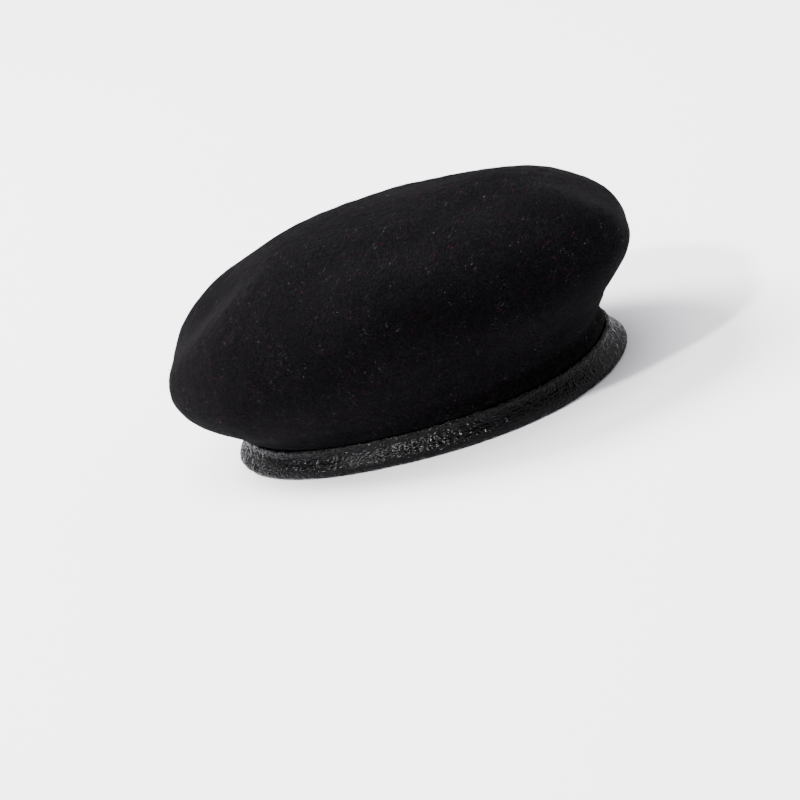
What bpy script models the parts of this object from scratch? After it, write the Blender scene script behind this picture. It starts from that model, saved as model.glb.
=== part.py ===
"""A felt beret with a leather binding, for Blender 4.5. Units are metres, +Z is up.

The front of the beret faces -Y and the wearer's right is at -X. The binding rests on z = 0.
Every piece is first made round, as on a lathe, and block_point then shapes it on an oval hat block.
"""

import math

import bmesh
import bpy
from mathutils import Matrix, Vector

MM = 0.001

# Driving dimensions
HEAD_LENGTH = 200 * MM          # front to back, over the widest part of the binding
HEAD_WIDTH = 168 * MM           # side to side, over the widest part of the binding
BAND_RADIUS = 92 * MM           # the binding's outside, before it is blocked oval
BAND_SQUARENESS = 2.2           # exponent of the head's superellipse; 2 is a plain ellipse
FRONT_LIFT = 2 * MM             # how much higher the crown stands at the front than level
LIFT_START = 16 * MM            # the lift begins above the binding ...
LIFT_FULL = 60 * MM             # ... and is whole from here up
NECK_PINCH = 0.035              # how much narrower the hat is at its neck than drawn below, as a share

FELT = 2.6 * MM                 # wall thickness of each layer
LEATHER = 1.0 * MM
SATIN = 0.6 * MM
STIFFENER = 1.0 * MM
CLEAR = 0.35 * MM               # air between layers that touch

LINING_INSET = 3.6 * MM         # lining's middle, inside the felt's middle, in the crown
HEM_INSET = 2.0 * MM            # the same where the lining is caught in the binding
HEM_TOP = 14.2 * MM             # height at which the lining leaves the binding
LINING_RAMP = 12 * MM           # length over which the lining moves from one inset to the other

DRAWSTRING_RADIUS = 1.2 * MM
THREAD_RADIUS = 0.35 * MM
FINE_THREAD_RADIUS = 0.3 * MM

LABEL_SIZE = Vector((12, 0.5, 10.6)) * MM
LABEL_HINGE = Vector((0, 83.4, 13.2)) * MM

STEPS = 48                      # segments round the head
SECTOR_STEPS = 8

# Middle lines of the turned walls, as (radius, height) in millimetres
FELT_LINE = [
    (88.0, 4.3), (86.5, 7.8), (85.3, 11.4), (85.4, 14.4), (88.2, 17.4), (94.3, 23.2), (101.3, 31.0),
    (108.0, 40.5), (111.8, 51.5), (111.2, 62.5), (106.6, 71.7), (97.5, 79.6), (84.0, 86.6),
    (66.0, 92.3), (44.5, 95.6), (22.3, 97.1), (0.0, 97.5),
]
BINDING_LINE = [
    (87.95, 10.0), (87.4, 11.6), (87.7, 12.55), (88.4, 12.9), (89.1, 12.4), (89.3, 11.2),
    (89.4, 9.5), (89.95, 7.3), (90.9, 5.2), (91.4, 3.4), (91.1, 1.7), (90.1, 0.75), (88.9, 0.5),
    (86.9, 0.5), (85.7, 0.95), (84.9, 2.4), (84.2, 4.6), (83.3, 8.0), (82.3, 11.0), (81.7, 13.0),
]
# Points of FELT_LINE, counted from the binding up, at which the pieces inside the crown begin and end
STIFFENER_POINTS = (6, 10)
JOIN_POINT = 10                 # the lining's side ends and its top begins here, one over the other
LABEL_POINT = 15                # the label in the lining's centre begins here
LABEL_MARGIN = 1.2 * MM         # its stitching lies this far inside its edge
STIFFENER_WIDTH = math.radians(34)
STIFFENER_TURN = math.radians(-58)      # over the wearer's left eye; -90 would be the front

COLOURS = {
    "felt": ((0.012, 0.011, 0.013), 0.95),
    "leather": ((0.014, 0.014, 0.016), 0.42),
    "satin": ((0.020, 0.019, 0.022), 0.35),
    "cord": ((0.016, 0.016, 0.017), 0.85),
    "thread": ((0.018, 0.018, 0.020), 0.6),
    "buckram": ((0.42, 0.40, 0.35), 0.8),
    "label": ((0.62, 0.61, 0.58), 0.7),
}


def clear_scene():
    for obj in list(bpy.data.objects):
        bpy.data.objects.remove(obj, do_unlink=True)


def new_collection(name):
    collection = bpy.data.collections.new(name)
    bpy.context.scene.collection.children.link(collection)
    return collection


def material(name):
    """The shared material of that name, made the first time it is asked for."""
    found = bpy.data.materials.get(name)
    if found:
        return found
    colour, roughness = COLOURS[name]
    made = bpy.data.materials.new(name)
    made.use_nodes = True
    shader = made.node_tree.nodes["Principled BSDF"]
    shader.inputs["Base Color"].default_value = (*colour, 1)
    shader.inputs["Roughness"].default_value = roughness
    shader.inputs["Metallic"].default_value = 0
    return made


def smoothstep(low, high, value):
    t = min(1, max(0, (value - low) / (high - low)))
    return t * t * (3 - 2 * t)


def block_point(point):
    """Where a point of the round form goes on the oval hat block."""
    radius = math.hypot(point.x, point.y)
    lift = smoothstep(LIFT_START, LIFT_FULL, point.z)
    if radius < 1e-9:
        return Vector((0, 0, point.z))
    c, s = abs(point.x) / radius, abs(point.y) / radius
    n = BAND_SQUARENESS + (2 - BAND_SQUARENESS) * lift
    pinch = smoothstep(2 * MM, 12.5 * MM, point.z) * (1 - smoothstep(17.5 * MM, 46 * MM, point.z))
    square = (c**n + s**n) ** (-1 / n) * (1 - NECK_PINCH * pinch)
    x = point.x * square * HEAD_WIDTH / (2 * BAND_RADIUS)
    y = point.y * square * HEAD_LENGTH / (2 * BAND_RADIUS)
    return Vector((x, y, point.z - FRONT_LIFT * lift * y / (HEAD_LENGTH / 2)))


def wall_line(points):
    """A wall's middle line in metres, as (radius, height)."""
    return [Vector((r * MM, z * MM)) for r, z in points]


def inset_line(line, inset):
    """The line moved towards the inside of the hat. inset is a function of the point and its arc length."""
    moved, run = [], 0
    for i, here in enumerate(line):
        before, after = line[max(i - 1, 0)], line[min(i + 1, len(line) - 1)]
        along = (after - before).normalized()
        run += (here - before).length if i else 0
        if i == len(line) - 1:
            along = Vector((-1, 0))
        moved.append(here + Vector((-along.y, along.x)) * inset(here, run))
    moved[-1].x = max(0, line[-1].x)
    return moved


def lining_inset(here, run):
    """The lining lies close to the felt inside the binding, and hangs a little free above it."""
    start = HEM_TOP - FELT_LINE[0][1] * MM
    share = smoothstep(start, start + LINING_RAMP, run)
    return HEM_INSET + (LINING_INSET - HEM_INSET) * share


def even_inset(inset):
    return lambda here, run: inset


def turned_shell(name, line, thickness, slot, width=None, centre=0.0):
    """A wall of even thickness with this middle line, turned right round, or width wide about centre."""
    mesh = bpy.data.meshes.new(name)
    edges = [(i, i + 1) for i in range(len(line) - 1)]
    mesh.from_pydata([(p.x, 0, p.y) for p in line], edges, [])
    obj = bpy.data.objects.new(name, mesh)
    PARTS.objects.link(obj)
    screw = obj.modifiers.new("turn", "SCREW")
    screw.axis = "Z"
    screw.angle = width or math.tau
    screw.steps = screw.render_steps = SECTOR_STEPS if width else STEPS
    screw.use_merge_vertices = not width
    screw.merge_threshold = 1e-5
    solidify = obj.modifiers.new("wall", "SOLIDIFY")
    solidify.thickness = thickness
    solidify.offset = 0
    solidify.use_even_offset = True
    return finish(obj, slot, turn=centre - width / 2 if width else 0)


def finish(obj, slot, turn=0.0, blocked=True):
    """Makes the object's modifiers real, turns it about Z, blocks it oval and gives it its material."""
    bpy.context.view_layer.update()
    evaluated = obj.evaluated_get(bpy.context.evaluated_depsgraph_get())
    mesh = bpy.data.meshes.new_from_object(evaluated)
    mesh.transform(Matrix.Rotation(turn, 4, "Z") @ obj.matrix_world)
    if blocked:
        for vertex in mesh.vertices:
            vertex.co = block_point(vertex.co)
    obj.modifiers.clear()
    obj.data = mesh
    obj.matrix_world = Matrix.Identity(4)
    face_outwards(mesh)
    mesh.materials.clear()
    mesh.materials.append(material(slot))
    mesh.shade_smooth()
    mesh.set_sharp_from_angle(angle=math.radians(40))
    return obj


def face_outwards(mesh):
    bm = bmesh.new()
    bm.from_mesh(mesh)
    bmesh.ops.recalc_face_normals(bm, faces=bm.faces)
    bm.to_mesh(mesh)
    bm.free()


def ring(name, radius, height, thickness, slot, sides=6):
    """A cord or thread that runs right round the hat."""
    bpy.ops.mesh.primitive_torus_add(major_radius=radius, minor_radius=thickness, major_segments=STEPS,
                                     minor_segments=sides, location=(0, 0, height))
    obj = bpy.context.object
    obj.name = name
    keep_in_parts(obj)
    return finish(obj, slot)


def keep_in_parts(obj):
    for collection in list(obj.users_collection):
        collection.objects.unlink(obj)
    PARTS.objects.link(obj)


def box(name, centre, size, slot=None, bevel=0.0):
    bpy.ops.mesh.primitive_cube_add(size=1, location=centre)
    obj = bpy.context.object
    obj.name = name
    obj.data.transform(Matrix.Diagonal((*size, 1)))
    keep_in_parts(obj)
    if bevel:
        rounded = obj.modifiers.new("rounded", "BEVEL")
        rounded.width = bevel
        rounded.segments = 2
    return finish(obj, slot, blocked=False) if slot else obj


def cut(obj, cutter, operation="DIFFERENCE"):
    """Applies a Boolean at once, and removes the other object."""
    boolean = obj.modifiers.new("cut", "BOOLEAN")
    boolean.operation = operation
    boolean.object = cutter
    finish(obj, obj.data.materials[0].name, blocked=False)
    bpy.data.objects.remove(cutter, do_unlink=True)
    return obj


def make_felt():
    return turned_shell("felt_crown", wall_line(FELT_LINE), FELT, "felt")


def make_binding():
    """A leather strip whose top edge is turned in, wrapped under the felt's edge and up inside it."""
    binding = turned_shell("leather_binding", wall_line(BINDING_LINE), LEATHER, "leather")
    slot_cutter = box("slot_cutter", Vector((0, 91.6, 3.8)) * MM, Vector((9, 4.2, 3.0)) * MM)
    cut(binding, slot_cutter)
    for side, x in (("left", 5.9), ("right", -5.9)):
        box("slot_bartack_" + side, Vector((x, 88.4, 4.2)) * MM, Vector((1.2, 0.7, 4.4)) * MM,
            "thread", 0.2 * MM)


def make_drawstring():
    """A round cord in the foot of the binding, tied at the back, with its ends cut short at the knot."""
    centre = Vector((88.1, 2.5)) * MM
    cord = ring("drawstring", centre.x, centre.y, DRAWSTRING_RADIUS, "cord", 8)
    bpy.ops.mesh.primitive_uv_sphere_add(segments=12, ring_count=8, radius=1)
    knot = bpy.context.object
    knot.data.transform(Matrix.Diagonal((4.4 * MM, 2.2 * MM, 1.35 * MM, 1)))
    knot.location = block_point(Vector((0, centre.x, centre.y)))
    keep_in_parts(knot)
    cut(cord, knot, "UNION")


def make_lining():
    """A satin side and a satin top, joined by a seam, with a round blank label in the centre."""
    felt = wall_line(FELT_LINE)
    step = SATIN + CLEAR
    side = inset_line(felt, lining_inset)[1:JOIN_POINT + 1]
    turned_shell("lining_side", side, SATIN, "satin")
    top = inset_line(felt, even_inset(LINING_INSET + step))[JOIN_POINT:]
    turned_shell("lining_top", top, SATIN, "satin")
    label = inset_line(felt, even_inset(LINING_INSET + 2 * step))[LABEL_POINT:]
    turned_shell("lining_label", label, SATIN, "label")
    seam_inset = LINING_INSET + step + SATIN / 2 + CLEAR + THREAD_RADIUS
    seam = inset_line(felt, even_inset(seam_inset))[JOIN_POINT]
    ring("lining_seam_thread", seam.x, seam.y, THREAD_RADIUS, "thread")
    edge_inset = LINING_INSET + 2 * step + SATIN / 2 + CLEAR + FINE_THREAD_RADIUS
    edge = inset_line(felt, even_inset(edge_inset))[LABEL_POINT]
    ring("label_thread", edge.x - LABEL_MARGIN, edge.y, FINE_THREAD_RADIUS, "thread", 5)


def make_stiffener():
    """The panel behind a badge, between felt and lining, over the wearer's left eye."""
    line = inset_line(wall_line(FELT_LINE), even_inset(FELT / 2 + CLEAR + STIFFENER / 2))
    first, last = STIFFENER_POINTS
    turned_shell("badge_stiffener", line[first:last + 1], STIFFENER, "buckram", STIFFENER_WIDTH,
                 STIFFENER_TURN)


def make_threads():
    ring("binding_seam_thread", 88.62 * MM, 7.4 * MM, FINE_THREAD_RADIUS, "thread")
    ring("binding_topstitch_thread", 81.0 * MM, 11.2 * MM, THREAD_RADIUS, "thread")


def make_size_label():
    """A folded tab that hangs from the inner seam at the back. Its origin is on the line it swings about."""
    centre = LABEL_HINGE - Vector((0, 0, LABEL_SIZE.z / 2))
    label = box("size_label", centre, LABEL_SIZE, "label", 0.15 * MM)
    label.data.transform(Matrix.Translation(-LABEL_HINGE))
    label.location = LABEL_HINGE


def main():
    make_felt()
    make_binding()
    make_drawstring()
    make_lining()
    make_stiffener()
    make_threads()
    make_size_label()


clear_scene()
PARTS = new_collection("beret")
main()
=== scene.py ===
"""The beret's looks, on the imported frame, for Blender 4.5. Units are metres, +Z is up.

Walls are first turned round on a lathe, then block() shapes them on the same oval hat block as the
CAD, and settle() presses the same soft lumps and dents into every layer, so that the layers stay nested.
"""

import math

import bpy
import numpy as np
from mathutils import Matrix, Vector


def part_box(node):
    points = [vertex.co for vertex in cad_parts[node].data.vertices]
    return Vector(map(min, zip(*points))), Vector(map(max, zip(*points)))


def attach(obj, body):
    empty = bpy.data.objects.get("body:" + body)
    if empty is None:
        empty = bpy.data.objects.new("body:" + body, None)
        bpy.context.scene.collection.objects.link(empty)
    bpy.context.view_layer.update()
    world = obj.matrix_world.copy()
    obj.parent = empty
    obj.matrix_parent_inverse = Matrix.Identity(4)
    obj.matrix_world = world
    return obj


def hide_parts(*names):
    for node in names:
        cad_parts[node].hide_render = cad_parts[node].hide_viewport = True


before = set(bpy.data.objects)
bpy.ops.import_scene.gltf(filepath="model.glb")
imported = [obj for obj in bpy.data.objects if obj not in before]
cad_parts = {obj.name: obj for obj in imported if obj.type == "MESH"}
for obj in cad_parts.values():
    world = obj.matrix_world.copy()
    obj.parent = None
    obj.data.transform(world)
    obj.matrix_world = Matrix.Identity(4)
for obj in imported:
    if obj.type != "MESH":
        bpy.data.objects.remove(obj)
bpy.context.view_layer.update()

MM = 0.001
BODY = "beret"
TAB_BODY = "size_label_tab"
SEED = 7

# The hat block: the same driving dimensions as the CAD
HEAD_LENGTH = 200 * MM
HEAD_WIDTH = 168 * MM
BAND_RADIUS = 92 * MM
BAND_SQUARENESS = 2.2
FRONT_LIFT = 2 * MM
LIFT_RISE = (16 * MM, 60 * MM)  # heights between which the lift comes in
NECK_PINCH = 0.035              # how far the neck is drawn in above the binding, as a share
PINCH_RISE = (2 * MM, 12.5 * MM)
PINCH_FALL = (17.5 * MM, 46 * MM)

FELT = 2.6 * MM
LEATHER = 1.0 * MM
SATIN = 0.3 * MM
STIFFENER = 1.0 * MM
LINING_INSET = 3.6 * MM         # from the felt's middle line to the lining's
HEM_INSET = 1.9 * MM            # the same at the lining's hem, where it lies close to the felt
LAYER_STEP = 0.95 * MM          # from the lining's side to its top, where the two overlap

# Middle lines of the turned walls, as (radius, height) in millimetres
FELT_LINE = [
    (88.0, 4.3), (86.5, 7.8), (85.4, 11.0), (86.1, 13.4), (89.2, 15.7), (92.6, 19.0), (96.5, 24.0),
    (102.3, 31.0), (108.0, 40.5), (111.8, 51.5), (111.2, 62.5), (106.6, 71.7), (97.5, 79.6),
    (84.0, 86.6), (66.0, 92.3), (44.5, 95.6), (22.3, 97.1), (0.0, 97.5),
]
BINDING_LINE = [
    (87.95, 10.0), (87.4, 11.6), (87.65, 12.55), (88.4, 12.95), (89.15, 12.45), (89.4, 11.6),
    (89.15, 10.4), (89.3, 9.0), (89.95, 7.1), (90.9, 5.2), (91.4, 3.4), (91.1, 1.7), (90.1, 0.75),
    (88.9, 0.5), (86.9, 0.5), (85.7, 0.95), (84.9, 2.4), (84.2, 4.6), (83.3, 8.0), (82.3, 11.0),
    (81.7, 13.0),
]
# Points of FELT_LINE, counted from the binding up, at which the pieces inside the crown begin and end
HEM_POINT = 1
STIFFENER_POINTS = (7, 11)
JOIN_POINT = 11
LABEL_POINT = 16
GRAIN = 1.75 * MM               # from pebble to pebble on the leather
GRAIN_HEIGHT = 0.55 * MM
SLOT_LOW = 2.3 * MM             # the slot in the binding's inner leaf, at the back
SLOT_HIGH = 5.3 * MM
SLOT_LENGTH = 9 * MM

# How the felt was pushed about by hand: where, how far the push spreads, and which way, in millimetres
PUSHES = [
    ((-90, -30, 78), 25, (-4, -1, 4)),      # the shoulder on the wearer's right stands up
    ((-25, 102, 84), 28, (1, -9.4, -6.6)),  # the back shoulder is rounder
    ((-30, 110, 36), 28, (-1, 4, -2)),      # and sags a little over the binding
    ((-78, 62, 28), 20, (-1, 1, -3)),
    ((-20, -62, 98), 15, (0, 0, -2.8)),     # shallow folds on the top
    ((-52, -30, 95), 13, (0, 0, -1.8)),
    ((-60, 20, 92), 14, (0, 0, -1.4)),
    ((-10, -88, 88), 15, (0, -1, 1.6)),
    ((8, 30, 98), 32, (0, 0, 2.0)),
    ((40, -10, 96), 24, (0, 0, -1.8)),
    ((86, 30, 60), 26, (2, 0, -2)),
    ((32, -112, 70), 26, (-0.5, 3.0, -1.4)),        # the front's far shoulder draws back
    ((24, -116, 48), 18, (-0.4, 2.2, 0.6)),
    ((30, 72, 92), 24, (-0.3, -0.9, -2.2)),         # the top slopes off to the back
]
FRONT_TUCK = 0.105              # how far the front is drawn in above the binding, as a share
TUCK_RISE = (11 * MM, 23 * MM)
TUCK_FALL = (32 * MM, 62 * MM)
SETTLE_RISE = (14.5 * MM, 36 * MM)      # heights between which the crown becomes free to move
LUMPS = [(74, 0.8, 1), (38, 0.35, 2)]   # wavelength and height in millimetres, and seed
FOCUS = (0, 0, 30)                      # the point that the crown swells away from, in millimetres


# ---------------------------------------------------------------- lines and shapes

def smoothstep(low, high, value):
    t = np.clip((value - low) / (high - low), 0, 1)
    return t * t * (3 - 2 * t)


def smooth_line(points, count):
    """A Catmull-Rom curve through the points, in metres, with count points evenly along its length."""
    p = np.array(points, float) * MM
    ends = np.vstack([2 * p[0] - p[1], p, 2 * p[-1] - p[-2]])
    t = np.linspace(0, 1, 24, endpoint=False)[:, None]
    spans = []
    for a, b, c, d in zip(ends, ends[1:], ends[2:], ends[3:]):
        spans.append(0.5 * (2 * b + (c - a) * t + (2 * a - 5 * b + 4 * c - d) * t**2
                            + (3 * b - a - 3 * c + d) * t**3))
    dense = np.vstack(spans + [p[-1:]])
    run = lengths_along(dense)
    even = np.linspace(0, run[-1], count)
    return np.stack([np.interp(even, run, dense[:, k]) for k in (0, 1)], axis=1)


def lengths_along(line):
    return np.concatenate([[0], np.cumsum(np.linalg.norm(np.diff(line, axis=0), axis=1))])


def line_normals(line):
    """Unit normals of a (radius, height) line, to its left, which is the inside of the hat."""
    along = np.gradient(line, axis=0)
    along /= np.linalg.norm(along, axis=1, keepdims=True)
    return np.stack([-along[:, 1], along[:, 0]], axis=1)


def inset(line, distance):
    """The line moved towards the inside of the hat, but never across the middle."""
    moved = line + line_normals(line) * np.reshape(distance, (-1, 1))
    moved[:, 0] = np.maximum(moved[:, 0], 0)
    if line[-1, 0] < 1e-6:
        moved[-1] = (0, line[-1, 1] - np.ravel(distance)[-1])
    return moved


def part_of(line, start, end):
    """The stretch of a line between two shares of its number of points."""
    last = len(line) - 1
    return line[round(start * last):round(end * last) + 1]


def share_at(point):
    """How far up the felt's line one of its points is, as a share of its length."""
    run = lengths_along(np.array(FELT_LINE))
    return run[point] / run[-1]


def block(p):
    """Where points of the round form go on the oval hat block."""
    radius = np.maximum(np.hypot(p[..., 0], p[..., 1]), 1e-9)
    lift = smoothstep(*LIFT_RISE, p[..., 2])
    n = BAND_SQUARENESS + (2 - BAND_SQUARENESS) * lift
    reach = (np.abs(p[..., 0]) / radius) ** n + (np.abs(p[..., 1]) / radius) ** n
    square = np.maximum(reach, 0.5) ** (-1 / n)     # reach is 0 only in the very middle
    pinch = smoothstep(*PINCH_RISE, p[..., 2]) * (1 - smoothstep(*PINCH_FALL, p[..., 2]))
    square = square * (1 - NECK_PINCH * pinch)
    x = p[..., 0] * square * HEAD_WIDTH / (2 * BAND_RADIUS)
    y = p[..., 1] * square * HEAD_LENGTH / (2 * BAND_RADIUS)
    return np.stack([x, y, p[..., 2] - FRONT_LIFT * lift * y / (HEAD_LENGTH / 2)], axis=-1)


def settle(p):
    """The crown's soft lumps and dents. The binding and what it holds keep their shape."""
    free = smoothstep(*SETTLE_RISE, p[..., 2])[..., None]
    radius = np.maximum(np.hypot(p[..., 0], p[..., 1]), 1e-9)
    forward = smoothstep(-0.1, 0.95, -p[..., 1] / radius)
    low = smoothstep(*TUCK_RISE, p[..., 2]) * (1 - smoothstep(*TUCK_FALL, p[..., 2]))
    p = p * np.stack([1 - FRONT_TUCK * forward * low] * 2 + [np.ones(low.shape)], axis=-1)
    moved = np.zeros_like(p)
    for centre, spread, push in PUSHES:
        away = np.linalg.norm(p - np.array(centre) * MM, axis=-1, keepdims=True)
        moved += np.array(push) * MM * np.exp(-0.5 * (away / (spread * MM)) ** 2)
    for wavelength, height, seed in LUMPS:
        moved += waves(p, wavelength * MM, seed)[..., None] * height * MM * outwards(p)
    return p + moved * free


def outwards(p):
    """Unit vectors from a point low in the middle of the hat."""
    d = p - np.array(FOCUS) * MM
    return d / np.maximum(np.linalg.norm(d, axis=-1, keepdims=True), 1e-9)


def waves(p, wavelength, seed, count=10):
    """Smooth noise of about -1 to 1, made of sine waves that cross at seeded angles."""
    rng = np.random.default_rng(seed)
    total = np.zeros(p.shape[:-1])
    for _ in range(count):
        direction = rng.normal(size=3)
        direction /= np.linalg.norm(direction)
        stretch = rng.uniform(0.7, 1.4)
        total += np.sin(p @ direction * math.tau / (wavelength * stretch) + rng.uniform(0, math.tau))
    return total / math.sqrt(count)


def spin(line, angles):
    """A (radius, height) line turned to each angle: an array of points by line by angle."""
    r, z = line[:, 0, None], line[:, 1, None]
    return np.stack([r * np.cos(angles), r * np.sin(angles), z + 0 * angles], axis=-1)


# ---------------------------------------------------------------- meshes

def new_object(name, points, faces, material, smooth=True):
    mesh = bpy.data.meshes.new(name)
    mesh.from_pydata(points.reshape(-1, 3).tolist(), [], faces)
    mesh.validate()
    if smooth:
        mesh.shade_smooth()
    mesh.materials.append(material)
    obj = bpy.data.objects.new(name, mesh)
    bpy.context.scene.collection.objects.link(obj)
    return obj


def grid_faces(rows, columns, first=0, closed=True, flip=False, hole=None):
    """Quads of a grid of points, row by row. hole is (first row, last row, first column, last column)."""
    faces = []
    for i in range(rows - 1):
        for j in range(columns if closed else columns - 1):
            if hole and hole[0] <= i < hole[1] and hole[2] <= j < hole[3]:
                continue
            k = (j + 1) % columns
            quad = (first + i * columns + j, first + i * columns + k,
                    first + (i + 1) * columns + k, first + (i + 1) * columns + j)
            faces.append(quad[::-1] if flip else quad)
    return faces


def rim_faces(outer, inner, flip=False):
    """Quads that join two open rows of points with the same number of points."""
    quads = [(outer[j], outer[j + 1], inner[j + 1], inner[j]) for j in range(len(outer) - 1)]
    return [q[::-1] for q in quads] if flip else quads


def shell(name, outer, inner, material, closed=True, hole=None):
    """A wall between two grids of points. A grid whose last row is all one point is closed there."""
    rows, columns = outer.shape[:2]
    poled = closed and np.ptp(outer[-1], axis=0).max() < 1e-7
    grid = rows - 1 if poled else rows
    size = grid * columns
    points = np.vstack([outer[:grid].reshape(-1, 3), inner[:grid].reshape(-1, 3)])
    faces = grid_faces(grid, columns, 0, closed, False, hole)
    faces += grid_faces(grid, columns, size, closed, True, hole)
    around = list(range(columns)) + ([0] if closed else [])
    faces += rim_faces(around, [size + j for j in around], True)
    last = (grid - 1) * columns
    if poled:
        points = np.vstack([points, outer[-1, :1], inner[-1, :1]])
        pole = 2 * size
        for j in range(columns):
            k = (j + 1) % columns
            faces.append((last + j, last + k, pole))
            faces.append((size + last + k, size + last + j, pole + 1))
    else:
        faces += rim_faces([last + j for j in around], [size + last + j for j in around])
    if not closed:
        for edge, flip in ((0, False), (columns - 1, True)):
            side = [i * columns + edge for i in range(grid)]
            faces += rim_faces(side, [size + v for v in side], flip)
    if hole:
        faces += hole_rim(hole, columns, size)
    return new_object(name, points, faces, material)


def hole_rim(hole, columns, size):
    """The cut edge round a hole that goes through a shell."""
    top, bottom, left, right = hole
    loop = [(top, j) for j in range(left, right)] + [(i, right) for i in range(top, bottom)]
    loop += [(bottom, j) for j in range(right, left, -1)] + [(i, left) for i in range(bottom, top, -1)]
    ids = [i * columns + j for i, j in loop + loop[:1]]
    return rim_faces(ids, [size + v for v in ids], False)


def turned_wall(name, line, thickness, material, columns, relief=None, arc=None):
    """A wall about a (radius, height) line, blocked and settled. relief moves both faces inwards."""
    angles = arc if arc is not None else np.linspace(0, math.tau, columns, endpoint=False)
    faces = []
    for side in (-0.5, 0.5):
        p = settle(block(spin(inset(line, side * thickness), angles)))
        if relief is not None:
            p = p - outwards(p) * relief(p)[..., None]
        faces.append(p)
    return shell(name, faces[0], faces[1], material, closed=arc is None)


def tube(points, radius, sides, closed=False, twist=None):
    """Points and faces of a round tube on a path. twist(angle, place along) is added to the radius."""
    count = len(points)
    along = np.roll(points, -1, 0) - np.roll(points, 1, 0)
    if not closed:
        along[0] = points[1] - points[0]
        along[-1] = points[-1] - points[-2]
    along /= np.linalg.norm(along, axis=1, keepdims=True)
    up = np.array((0.0, 0.0, 1.0)) if np.abs(along[:, 2]).max() < 0.9 else np.array((0.0, 1.0, 0.0))
    across = np.cross(along, up)
    across /= np.linalg.norm(across, axis=1, keepdims=True)
    over = np.cross(across, along)
    a = np.linspace(0, math.tau, sides, endpoint=False)
    r = np.broadcast_to(np.reshape(radius, (-1, 1)), (count, sides)).copy()
    if twist is not None:
        r = r + twist(a[None, :], np.arange(count)[:, None])
    ring = (points[:, None] + across[:, None] * (np.cos(a) * r)[..., None]
            + over[:, None] * (np.sin(a) * r)[..., None])
    faces = grid_faces(count + 1 if closed else count, sides)
    if closed:
        faces = [tuple(v % (count * sides) for v in f) for f in faces]
        return ring.reshape(-1, 3), faces
    faces += [tuple(range(sides))[::-1], tuple((count - 1) * sides + j for j in range(sides))]
    return ring.reshape(-1, 3), faces


def joined(pieces):
    """Several (points, faces) as one."""
    points, faces, first = [], [], 0
    for p, f in pieces:
        points.append(p)
        faces += [tuple(v + first for v in face) for face in f]
        first += len(p)
    return np.vstack(points), faces


def stitch_row(name, path, lift, count, radius):
    """Separate stitches along a closed path. lift is the direction in which each one arches."""
    closed_path = np.vstack([path, path[:1]])
    closed_lift = np.vstack([lift, lift[:1]])
    run = lengths_along(closed_path)
    fill = 0.72     # each stitch's share of the way to the next
    share = np.linspace(0, 1, 7)
    pieces = []
    for i in range(count):
        at = (i + fill * share) / count * run[-1]
        spine = np.stack([np.interp(at, run, closed_path[:, k]) for k in range(3)], axis=1)
        arch = np.stack([np.interp(at, run, closed_lift[:, k]) for k in range(3)], axis=1)
        bow = np.sin(math.pi * share)
        spine = spine + arch * (radius * 0.9 * bow)[:, None]
        pieces.append(tube(spine, radius * (0.35 + 0.65 * bow**0.5), 6))
    points, faces = joined(pieces)
    return new_object(name, points, faces, MATERIALS["thread"])


# ---------------------------------------------------------------- materials

class Shader:
    """A material's node tree, with short ways to add nodes.

    Values may be numbers or other nodes' outputs.
    """

    def __init__(self, name):
        self.material = bpy.data.materials.new(name)
        self.material.use_nodes = True
        self.tree = self.material.node_tree
        self.surface = self.tree.nodes["Principled BSDF"]
        self.place = self.node("ShaderNodeTexCoord").outputs["Object"]

    def node(self, kind, values=None, **settings):
        made = self.tree.nodes.new(kind)
        for key, value in settings.items():
            setattr(made, key, value)
        for key, value in (values or {}).items():
            self.put(made.inputs[key], value)
        return made

    def put(self, socket, value):
        if isinstance(value, bpy.types.NodeSocket):
            self.tree.links.new(value, socket)
        else:
            socket.default_value = value

    def noise(self, scale, detail=2.0, stretch=None, turn=(0, 0, 0), distortion=0.0):
        place = self.place
        if stretch:
            place = self.node("ShaderNodeMapping", {"Vector": place, "Rotation": turn, "Scale": stretch})
            place = place.outputs["Vector"]
        made = self.node("ShaderNodeTexNoise", {"Vector": place, "Scale": scale, "Detail": detail,
                                                "Distortion": distortion})
        return made.outputs["Fac"]

    def cell_edges(self, scale):
        made = self.node("ShaderNodeTexVoronoi", {"Vector": self.place, "Scale": scale},
                         feature="DISTANCE_TO_EDGE")
        return made.outputs["Distance"]

    def range(self, value, low, high, to_low=0.0, to_high=1.0):
        made = self.node("ShaderNodeMapRange", {"Value": value, "From Min": low, "From Max": high,
                                                "To Min": to_low, "To Max": to_high})
        return made.outputs["Result"]

    def math(self, operation, a, b=0.0):
        made = self.node("ShaderNodeMath", {0: a, 1: b}, operation=operation)
        return made.outputs["Value"]

    def mix(self, share, a, b):
        made = self.node("ShaderNodeMix", data_type="RGBA")
        self.put(made.inputs[0], share)
        self.put(made.inputs[6], (*a, 1) if isinstance(a, tuple) else a)
        self.put(made.inputs[7], (*b, 1) if isinstance(b, tuple) else b)
        return made.outputs[2]

    def bump(self, height, distance, strength=1.0, under=None):
        values = {"Height": height, "Distance": distance, "Strength": strength}
        if under is not None:
            values["Normal"] = under
        return self.node("ShaderNodeBump", values).outputs["Normal"]

    def finish(self, **values):
        for key, value in values.items():
            if isinstance(value, tuple) and len(value) == 3:
                value = (*value, 1)
            self.put(self.surface.inputs[key.replace("_", " ")], value)
        return self.material


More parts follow.
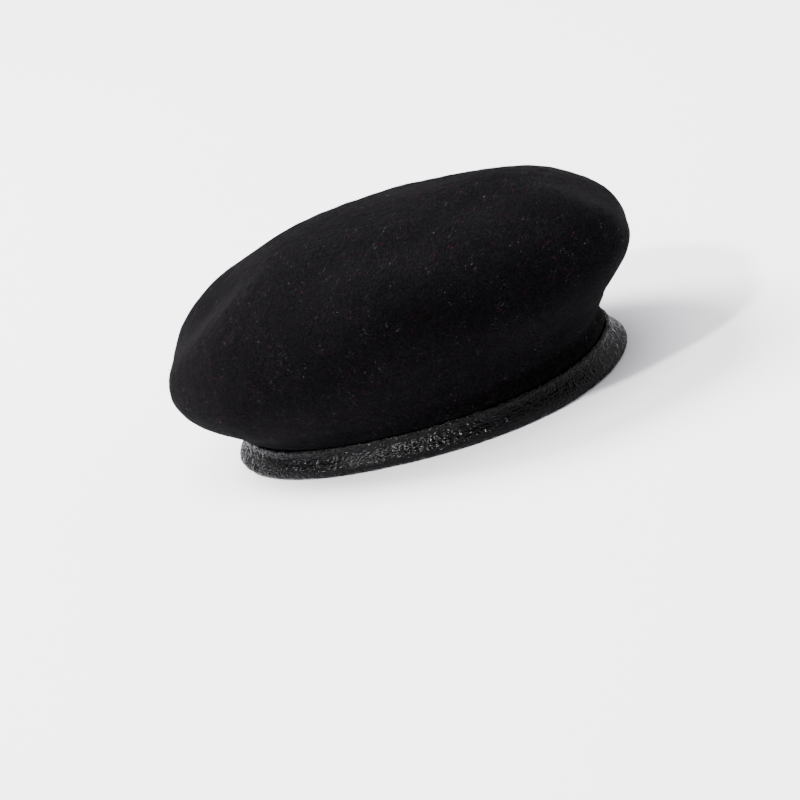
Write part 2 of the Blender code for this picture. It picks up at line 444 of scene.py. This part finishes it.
def felt_material():
    """Fulled wool: a matted nap of short curled fibres, with a few pale and reddish hairs."""
    s = Shader("wool_felt")
    depth = 0.35 * MM
    mottle = s.noise(30, 3)
    matted = s.noise(520, 4, distortion=0.8)
    turns = ((0.3, 0.2, 0.0), (1.2, 0.4, 0.9), (0.5, 1.3, 2.0), (1.9, 0.9, 0.4), (2.6, 0.3, 1.3))
    hairs = 0.0
    for turn in turns:
        strand = s.range(s.noise(300, 1, (0.8, 5.5, 5.5), turn, 1.2), 0.60, 0.72)
        hairs = strand if hairs == 0.0 else s.math("MAXIMUM", hairs, strand)
    colour = s.mix(s.range(matted, 0.3, 0.75), (0.0002, 0.0002, 0.0002), (0.0005, 0.0004, 0.0006))
    colour = s.mix(s.math("MULTIPLY", hairs, s.range(mottle, 0.3, 0.7, 0.4, 0.9)), colour,
                   (0.0062, 0.0053, 0.0072))
    pale_hair = s.range(s.noise(250, 1, (0.7, 6.5, 6.5), (1.7, 0.2, 0.8), 1.4), 0.70, 0.76)
    pale = s.math("MULTIPLY", pale_hair, s.range(s.noise(150, 0), 0.55, 0.60))
    colour = s.mix(s.math("MULTIPLY", pale, 0.7), colour, (0.10, 0.090, 0.098))
    red_hair = s.range(s.noise(250, 1, (0.6, 6.5, 6.5), (0.9, 0.5, 0.3), 1.5), 0.69, 0.75)
    red = s.math("MULTIPLY", red_hair, s.range(s.noise(170, 0), 0.60, 0.66))
    colour = s.mix(s.math("MULTIPLY", red, 0.8), colour, (0.070, 0.010, 0.016))
    height = s.math("ADD", matted, s.math("MULTIPLY", hairs, 0.6))
    soft = s.bump(s.noise(140, 3), 1.2 * depth)
    normal = s.bump(height, depth, 1.0, soft)
    return s.finish(Base_Color=colour, Roughness=0.98, Normal=normal, Sheen_Weight=0.008,
                    Sheen_Roughness=0.35, Sheen_Tint=(0.90, 0.84, 0.95), Specular_IOR_Level=0.022)


def nap_material():
    """Single wool hairs, mostly dark, some pale."""
    s = Shader("wool_hairs")
    tone = s.noise(420, 1)
    colour = s.mix(s.range(tone, 0.52, 0.75), (0.0010, 0.0009, 0.0012), (0.020, 0.018, 0.021))
    return s.finish(Base_Color=colour, Roughness=0.8, Specular_IOR_Level=0.06)


def leather_material():
    """Black pebbled leather: each grain is glossy on top, and the creases between are duller, with painted
    shade in them.
    """
    s = Shader("pebbled_leather")
    grain = s.node("ShaderNodeAttribute", attribute_name="grain").outputs["Fac"]
    fine = s.math("ADD", s.noise(2600, 4), s.range(s.cell_edges(1500), 0.0, 0.12))
    wear = s.noise(120, 3)
    # painted shade: the creases between the pebbles are coloured darker than the pebble tops
    colour = s.mix(s.range(grain, 0.1, 0.8), (0.0003, 0.0003, 0.0004), (0.0014, 0.0014, 0.0018))
    colour = s.mix(s.range(wear, 0.6, 0.8, 0, 0.5), colour, (0.005, 0.005, 0.006))
    roughness = s.range(s.math("ADD", grain, s.math("MULTIPLY", wear, -0.4)), -0.2, 0.7, 0.27, 0.10)
    normal = s.bump(fine, 0.04 * MM, 0.4)
    return s.finish(Base_Color=colour, Roughness=roughness, Normal=normal, Specular_IOR_Level=0.10)


def woven_material(name, dark, light, pitch, roughness):
    """Cloth woven at that pitch in metres, with slight differences from thread to thread."""
    s = Shader(name)
    band_per_metre = 0.314      # the wave node's scale for one band in a metre
    crossing = []
    for axis in ("X", "Y", "Z"):
        wave = s.node("ShaderNodeTexWave", {"Vector": s.place, "Scale": band_per_metre / pitch,
                                            "Distortion": 0.6, "Detail": 1.0, "Detail Scale": 2.0},
                      bands_direction=axis)
        crossing.append(wave.outputs["Fac"])
    threads = s.math("MULTIPLY", s.math("ADD", crossing[0], crossing[1]), 0.5)
    threads = s.math("MULTIPLY", s.math("ADD", threads, crossing[2]), 0.5)
    slub = s.noise(260, 3)
    colour = s.mix(s.math("MULTIPLY", threads, s.range(slub, 0.2, 0.8, 0.5, 1.0)), dark, light)
    normal = s.bump(threads, 0.05 * MM, 0.8)
    return s.finish(Base_Color=colour, Roughness=s.range(slub, 0.3, 0.7, roughness * 0.85, roughness),
                    Normal=normal, Sheen_Weight=0.1, Sheen_Roughness=0.4)


def satin_material():
    """Lining satin: long fine floats of thread, glossy, with faint slubs."""
    s = Shader("lining_satin")
    floats = s.noise(900, 2, (0.25, 1.0, 1.0))
    slub = s.noise(260, 3)
    colour = s.mix(s.math("MULTIPLY", floats, slub), (0.006, 0.006, 0.007), (0.032, 0.030, 0.036))
    normal = s.bump(floats, 0.03 * MM, 0.5)
    return s.finish(Base_Color=colour, Roughness=s.range(slub, 0.3, 0.7, 0.31, 0.37), Normal=normal,
                    Sheen_Weight=0.05, Sheen_Roughness=0.4)


def twisted_material(name, dark, light, roughness):
    """Twisted yarn or braid, with fibres along it."""
    s = Shader(name)
    ply = s.noise(2600, 2, (1.0, 1.0, 0.5), (0.6, 0.3, 0.2), 0.4)
    fibre = s.noise(6500, 2)
    colour = s.mix(s.range(ply, 0.35, 0.65), dark, light)
    normal = s.bump(s.math("ADD", ply, s.math("MULTIPLY", fibre, 0.4)), 0.06 * MM, 0.8)
    return s.finish(Base_Color=colour, Roughness=roughness, Normal=normal, Sheen_Weight=0.15,
                    Sheen_Roughness=0.4)


def floor_material():
    """A plain pale sweep of painted board, faintly uneven."""
    s = Shader("studio_floor")
    tone = s.noise(3, 2)
    colour = s.mix(tone, (0.93, 0.93, 0.955), (0.95, 0.95, 0.97))
    return s.finish(Base_Color=colour, Roughness=0.9, Specular_IOR_Level=0.1)


MATERIALS = {
    "felt": felt_material(),
    "nap": nap_material(),
    "leather": leather_material(),
    "satin": satin_material(),
    "cord": twisted_material("braided_cord", (0.006, 0.006, 0.007), (0.030, 0.029, 0.031), 0.8),
    "thread": twisted_material("sewing_thread", (0.010, 0.010, 0.011), (0.045, 0.044, 0.047), 0.55),
    "buckram": woven_material("buckram", (0.22, 0.20, 0.16), (0.50, 0.47, 0.40), 1.1 * MM, 0.85),
    "label": woven_material("woven_label", (0.44, 0.43, 0.40), (0.70, 0.69, 0.66), 0.5 * MM, 0.65),
}


# ---------------------------------------------------------------- pieces

def place(piece, slot, body=BODY, node=None):
    """Says which body a piece rides on and which CAD node it stands for. slot is not used."""
    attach(piece, body)
    if node:
        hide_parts(node)
    return piece


def felt_relief(p):
    """The felt's own unevenness, as on thick fulled wool."""
    broad = waves(p, 11 * MM, seed=3) * 0.10 * MM
    fine = waves(p, 4.5 * MM, seed=4, count=14) * 0.06 * MM
    return broad + fine


def lining_relief(p):
    """How far the lining falls away from the felt: soft folds down the side, puckers at the seam."""
    angle, height = np.arctan2(p[..., 1], p[..., 0]), p[..., 2]
    fold_count, fold_depth = 23, 2.6 * MM
    pucker_count, pucker_depth = 74, 0.7 * MM
    slack_depth = 1.3 * MM
    seam_height, seam_spread = 68 * MM, 9 * MM
    folds = 0.5 + 0.5 * np.sin(fold_count * angle + 2.2 * waves(p, 60 * MM, seed=5))
    side = smoothstep(16 * MM, 38 * MM, height) * (1 - smoothstep(60 * MM, 74 * MM, height))
    seam = np.exp(-((height - seam_height) / seam_spread) ** 2)
    puckers = 0.5 + 0.5 * np.sin(pucker_count * angle + 3 * waves(p, 30 * MM, seed=6))
    slack = (1 + waves(p, 48 * MM, seed=8) * 0.5) * smoothstep(64 * MM, 84 * MM, height)
    return fold_depth * folds * side + pucker_depth * puckers * seam + slack_depth * slack


def make_felt(felt_line):
    felt = turned_wall("felt_body", felt_line, FELT, MATERIALS["felt"], 300, felt_relief)
    place(felt, "felt", node="felt_crown")
    place(make_nap(felt_line), "felt")


def make_nap(felt_line):
    """Loose fibres that stand out of the felt, each one a thin bent spike."""
    count = 20000
    thick = 0.035 * MM
    buried = 0.15 * MM              # how deep the roots sit
    lowest = 9.5 * MM               # how far up the felt's line the fibres begin, above the binding's hold
    rng = np.random.default_rng(SEED)
    outer = inset(felt_line, -FELT / 2)
    run = lengths_along(outer)
    weight = np.interp(rng.uniform(0, 1, 4 * count), np.linspace(0, 1, len(run)), run / run[-1])
    keep = rng.uniform(0, 1, 4 * count) < np.interp(weight * run[-1], run, outer[:, 0] / outer[:, 0].max())
    at = weight[keep][:count] * run[-1]
    at = at[at > lowest]
    angles = rng.uniform(0, math.tau, len(at))
    r, z = np.interp(at, run, outer[:, 0]), np.interp(at, run, outer[:, 1])
    root = settle(block(np.stack([r * np.cos(angles), r * np.sin(angles), z], axis=-1)))
    root = root - outwards(root) * (felt_relief(root) + buried)[:, None]
    lean = rng.normal(size=root.shape)
    lean -= outwards(root) * (lean * outwards(root)).sum(-1, keepdims=True)
    lean /= np.linalg.norm(lean, axis=1, keepdims=True)
    length = (0.5 + rng.gamma(2.0, 0.35, len(at))) * MM
    rise = rng.uniform(0.35, 1.0, len(at))
    middle = root + (outwards(root) * rise[:, None] + lean * 0.55) * length[:, None] * 0.55
    tip = middle + (outwards(root) * (rise * 0.35)[:, None] + lean) * length[:, None] * 0.5
    side = np.cross(outwards(root), lean)
    spots = []
    for centre, radius in ((root, thick), (middle, thick * 0.8)):
        for corner in range(3):
            a = corner * math.tau / 3
            spots.append(centre + (lean * math.cos(a) + side * math.sin(a)) * radius)
    points = np.stack(spots + [tip], axis=1)
    spike = [(2, 1, 0), (0, 1, 4, 3), (1, 2, 5, 4), (2, 0, 3, 5), (3, 4, 6), (4, 5, 6), (5, 3, 6)]
    faces = [tuple(7 * i + v for v in f) for i in range(len(points)) for f in spike]
    return new_object("felt_nap", points, faces, MATERIALS["nap"])


def pebbles(u, v, pitch, width, seed):
    """Leather grain: 0 in a crease to 1 on a pebble, on a strip that closes on itself after width."""
    count = round(width / pitch)
    x = u / width * count + 0.3 * v / pitch
    y = v / pitch
    rows = int(y.max()) + 4
    spots = np.random.default_rng(seed).uniform(0.08, 0.92, (count, rows, 2))
    nearest = np.full(x.shape, 9.0)
    second = nearest.copy()
    for di in (-1, 0, 1):
        for dj in (-1, 0, 1):
            i = np.floor(x).astype(int) + di
            j = np.floor(y).astype(int) + dj
            spot = spots[i % count, j % rows]
            d = np.hypot(i + spot[..., 0] - x, j + spot[..., 1] - y)
            second = np.minimum(second, np.maximum(nearest, d))
            nearest = np.minimum(nearest, d)
    return smoothstep(0, 0.55, second - nearest) * (1 - 0.6 * nearest**2)


def make_binding():
    """Leather with a real pebbled grain. The slot to the drawstring is cut in its inner leaf at the back."""
    columns, rows = 1280, 124
    swell_height = 0.10 * MM
    join_width, join_depth = 0.45 * MM, 0.30 * MM       # the strip's two ends meet at the back
    line = smooth_line(BINDING_LINE, rows)
    run = lengths_along(line)
    angles = np.linspace(0, math.tau, columns, endpoint=False)
    round_trip = math.tau * BAND_RADIUS
    v, u = np.meshgrid(run, angles / math.tau * round_trip, indexing="ij")
    coarse = spin(line, angles)
    stray_u = waves(coarse, 5 * MM, seed=11) * 0.45 * GRAIN
    stray_v = waves(coarse, 4 * MM, seed=12) * 0.45 * GRAIN
    grain = pebbles((u + stray_u) % round_trip, v + stray_v + GRAIN, GRAIN, round_trip, SEED)
    swell = waves(coarse, 26 * MM, seed=9) * swell_height
    seam = np.exp(-(((angles - math.pi / 2) * BAND_RADIUS / join_width) ** 2)) * join_depth
    free = smoothstep(4 * MM, 6 * MM, v)            # the turned-in edge is held by its seam
    faces = []
    for side in (-0.5, 0.5):
        p = spin(inset(line, side * LEATHER), angles)
        normal = spin(line_normals(line), angles)
        depth = (grain - 0.5) * GRAIN_HEIGHT - seam if side > 0 else 0
        p = p + normal * (swell * free + depth)[..., None]
        p[..., 2] = np.maximum(p[..., 2], 0)        # pressed flat where it rests
        faces.append(block(p))
    inner_leaf = np.flatnonzero((line[:, 1] > SLOT_LOW) & (line[:, 1] < SLOT_HIGH)
                                & (np.arange(rows) > rows / 2) & (line[:, 0] < 86 * MM))
    column_width = HEAD_WIDTH / 2 * math.tau / columns      # at the back
    half = round(SLOT_LENGTH / 2 / column_width)
    hole = (inner_leaf[0], inner_leaf[-1], columns // 4 - half, columns // 4 + half)
    binding = shell("binding_leather", faces[0], faces[1], MATERIALS["leather"], hole=hole)
    shade = binding.data.attributes.new("grain", "FLOAT", "POINT")
    values = np.concatenate([np.full(grain.size, 0.5), grain.ravel()])
    shade.data.foreach_set("value", values.astype(np.float32))
    place(binding, "leather", node="leather_binding")


def make_bartacks():
    """The two whipped ends of the slot, each a stack of short stitches."""
    radius = 83.75 * MM
    from_middle, half_width = 0.0698, 0.0068        # radians
    share = np.linspace(-1, 1, 7)
    bow = np.sqrt(1 - share**2) * 0.25 * MM
    for name, middle in (("left", math.pi / 2 - from_middle), ("right", math.pi / 2 + from_middle)):
        angles = share * half_width + middle
        pieces = []
        for height in np.linspace(2.3 * MM, 6.1 * MM, 13):
            spine = np.stack([(radius - bow) * np.cos(angles), (radius - bow) * np.sin(angles),
                              np.full(len(share), height)], axis=-1)
            pieces.append(tube(block(spine), 0.17 * MM, 8))
        points, faces = joined(pieces)
        tack = new_object("bartack_" + name, points, faces, MATERIALS["thread"])
        place(tack, "thread", node="slot_bartack_" + name)


def make_drawstring():
    """A braided cord round the foot of the binding, with an overhand knot pressed flat at the back."""
    count = 1500
    angles = np.linspace(0, math.tau, count, endpoint=False)
    radius, height = 88.1 * MM, 2.5 * MM
    cord_radius, knot_radius = 1.08 * MM, 0.62 * MM     # the cord is squeezed thinner in the knot
    path = block(spin(np.array([(radius, height)]), angles))[0]

    def braid(a, place_along):
        turn = place_along * math.tau / 12
        return 0.10 * MM * np.cos(3 * a + turn) * np.cos(3 * a - turn)

    cord = tube(path, cord_radius, 14, True, braid)
    t = np.linspace(0, math.tau, 160, endpoint=False)
    centre = block(np.array((0, radius, height)))
    knot_path = np.stack([(np.sin(t) + 2 * np.sin(2 * t)) * 1.15, -np.sin(3 * t) * 0.75,
                          (np.cos(t) - 2 * np.cos(2 * t)) * 0.25], -1) * MM + centre
    knot = tube(knot_path, knot_radius, 10, True, lambda a, i: 0.05 * MM * np.cos(3 * a + i * 0.6))
    points, faces = joined([cord, knot])
    string = new_object("drawstring_cord", points, faces, MATERIALS["cord"])
    place(string, "cord", node="drawstring")


def make_lining(felt_line):
    """Satin side and top with a pressed seam, a blank round label, and the stitches that hold them."""
    join, label_edge = share_at(JOIN_POINT), share_at(LABEL_POINT)
    rise = lengths_along(felt_line)
    ramp = smoothstep(10 * MM, 22 * MM, rise)
    side_line = inset(felt_line, HEM_INSET + (LINING_INSET - HEM_INSET) * ramp)
    top_inset = LINING_INSET + LAYER_STEP
    top_line = inset(felt_line, np.full(len(felt_line), top_inset))
    label_line = inset(felt_line, np.full(len(felt_line), top_inset + LAYER_STEP * 0.7))
    overlap = 0.012     # of the top over the side, as a share of the felt's line, as are the next two
    seam_at, rim_at = join - 0.006, label_edge + 0.008
    side = turned_wall("lining_side_satin", part_of(side_line, share_at(HEM_POINT), join), SATIN,
                       MATERIALS["satin"], 420, lining_relief)
    top = turned_wall("lining_top_satin", part_of(top_line, join - overlap, 1), SATIN,
                      MATERIALS["satin"], 420, lining_relief)
    label = turned_wall("round_label", part_of(label_line, label_edge, 1), SATIN,
                        MATERIALS["label"], 120, lining_relief)
    place(side, "satin", node="lining_side")
    place(top, "satin", node="lining_top")
    place(label, "label", node="lining_label")
    seam = part_of(top_line, seam_at, seam_at)[0]
    rim = part_of(label_line, rim_at, rim_at)[0]
    for name, spot, count, radius, node in (
            ("lining_seam_stitches", seam, 210, 0.2 * MM, "lining_seam_thread"),
            ("label_stitches", rim, 52, 0.16 * MM, "label_thread")):
        angles = np.linspace(0, math.tau, 720, endpoint=False)
        path = settle(block(spin(np.array([spot]), angles)))[0]
        path = path - outwards(path) * (lining_relief(path) + SATIN / 2)[:, None]
        row = stitch_row(name, path, -outwards(path), count, radius)
        place(row, "thread", node=node)


def make_topstitch():
    """The row of stitches along the upper edge of the binding's inner leaf."""
    angles = np.linspace(0, math.tau, 1440, endpoint=False)
    path = block(spin(np.array([(81.72 * MM, 11.2 * MM)]), angles))[0]
    inwards = -path * np.array((1, 1, 0))
    inwards /= np.linalg.norm(inwards, axis=1, keepdims=True)
    row = stitch_row("binding_topstitches", path, inwards, 176, 0.3 * MM)
    place(row, "thread", node="binding_topstitch_thread")


def make_stiffener(felt_line):
    """The buckram panel between felt and lining, over the wearer's left eye."""
    line = inset(felt_line, np.full(len(felt_line), FELT / 2 + 0.35 * MM + STIFFENER / 2))
    middle, spread = math.radians(-58), math.radians(34)
    arc = middle + np.linspace(-0.5, 0.5, 40) * spread
    shares = [share_at(point) for point in STIFFENER_POINTS]
    panel = turned_wall("buckram_panel", part_of(line, *shares), STIFFENER,
                        MATERIALS["buckram"], len(arc), arc=arc)
    place(panel, "buckram", node="badge_stiffener")


def make_size_label():
    """A woven tab folded double at its foot, caught at its top edge."""
    low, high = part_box("size_label")
    middle = (low[1] + high[1]) / 2
    half_gap, thin = 0.13 * MM, 0.16 * MM
    turn = np.linspace(0, math.pi, 9)
    foot = low[2] + half_gap + thin / 2
    rise = np.linspace(high[2], foot, 24)[:-1]
    line = np.vstack([np.stack([np.full(23, half_gap), rise], 1),
                      np.stack([half_gap * np.cos(turn), foot - half_gap * np.sin(turn)], 1),
                      np.stack([np.full(23, -half_gap), rise[::-1]], 1)])
    normal = line_normals(line)
    across = np.linspace(low[0], high[0], 30)
    share = (across - across.mean()) / np.ptp(across)
    faces = []
    for side in (-0.5, 0.5):
        moved = line + normal * side * thin
        drop = (high[2] - moved[:, 1, None]) / (high[2] - low[2])
        curl = (0.55 * share**2 + 0.18 * np.sin(5 * share + 1)) * drop * MM
        grid = np.stack([across + 0 * moved[:, :1], middle - 0.1 * MM + moved[:, :1] - curl,
                         moved[:, 1:] + 0 * across], axis=-1)
        faces.append(grid)
    tab = shell("size_tab", faces[0], faces[1], MATERIALS["label"], closed=False)
    place(tab, "label", TAB_BODY, "size_label")


def dress_cad_thread():
    """The seam inside the binding's fold stays as the CAD has it, in sewing thread."""
    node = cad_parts["binding_seam_thread"]
    for slot in node.material_slots:
        slot.material = MATERIALS["thread"]


# ---------------------------------------------------------------- studio

def make_camera():
    """The camera looks at the hat's right side from a little above, and leans as the hat is worn tilted."""
    azimuth, elevation, lean = math.radians(-70), math.radians(18), math.radians(-19.4)
    distance, lens = 1.6, 146.2
    away = Vector((math.sin(azimuth) * math.cos(elevation), -math.cos(azimuth) * math.cos(elevation),
                   math.sin(elevation)))
    level = Vector((math.cos(azimuth), math.sin(azimuth), 0))
    right = level * math.cos(lean) + away.cross(level) * math.sin(lean)
    up = away.cross(right)
    aim = right * -0.0167 - up * 0.001
    data = bpy.data.cameras.new("camera")
    data.lens = lens
    data.sensor_width = 36
    data.clip_end = 50
    camera = bpy.data.objects.new("camera", data)
    turned = Matrix((right, up, away)).transposed().to_4x4()
    camera.matrix_world = Matrix.Translation(aim + away * distance) @ turned
    bpy.context.scene.collection.objects.link(camera)
    bpy.context.scene.camera = camera
    return right, up, away


def make_light(name, place_at, size, power, colour):
    data = bpy.data.lights.new(name, "AREA")
    data.shape = "DISK"
    data.size = size
    data.energy = power
    data.color = colour
    light = bpy.data.objects.new(name, data)
    light.location = place_at
    light.rotation_euler = (Vector((0, 0, 0.05)) - Vector(place_at)).to_track_quat("-Z", "Y").to_euler()
    bpy.context.scene.collection.objects.link(light)


def make_studio(right, up, away):
    world = bpy.data.worlds.new("studio")
    world.use_nodes = True
    world.node_tree.nodes["Background"].inputs["Color"].default_value = (0.97, 0.97, 1.0, 1)
    world.node_tree.nodes["Background"].inputs["Strength"].default_value = 1.25
    bpy.context.scene.world = world
    make_light("key", up * 1.8 - right * 2.3 - away * 0.5, 1.5, 280, (1.0, 1.0, 1.0))
    make_light("top", Vector((0, 0, 3.2)), 2.4, 85, (0.98, 0.98, 1.0))
    make_light("side", away * 2.0 - right * 2.2 + up * 1.0, 0.3, 150, (1.0, 0.99, 0.98))
    half, drop = 6.0, -0.2 * MM     # the floor lies just under the hat's lowest point
    corners = np.array([(-half, -half, drop), (half, -half, drop), (half, half, drop), (-half, half, drop)])
    floor = new_object("floor", corners, [(0, 1, 2, 3)], floor_material(), smooth=False)


def main():
    felt_line = smooth_line(FELT_LINE, 190)
    make_studio(*make_camera())
    make_felt(felt_line)
    make_binding()
    make_bartacks()
    make_drawstring()
    make_lining(felt_line)
    make_topstitch()
    make_stiffener(felt_line)
    make_size_label()
    dress_cad_thread()


main()
bpy.context.view_layer.update()
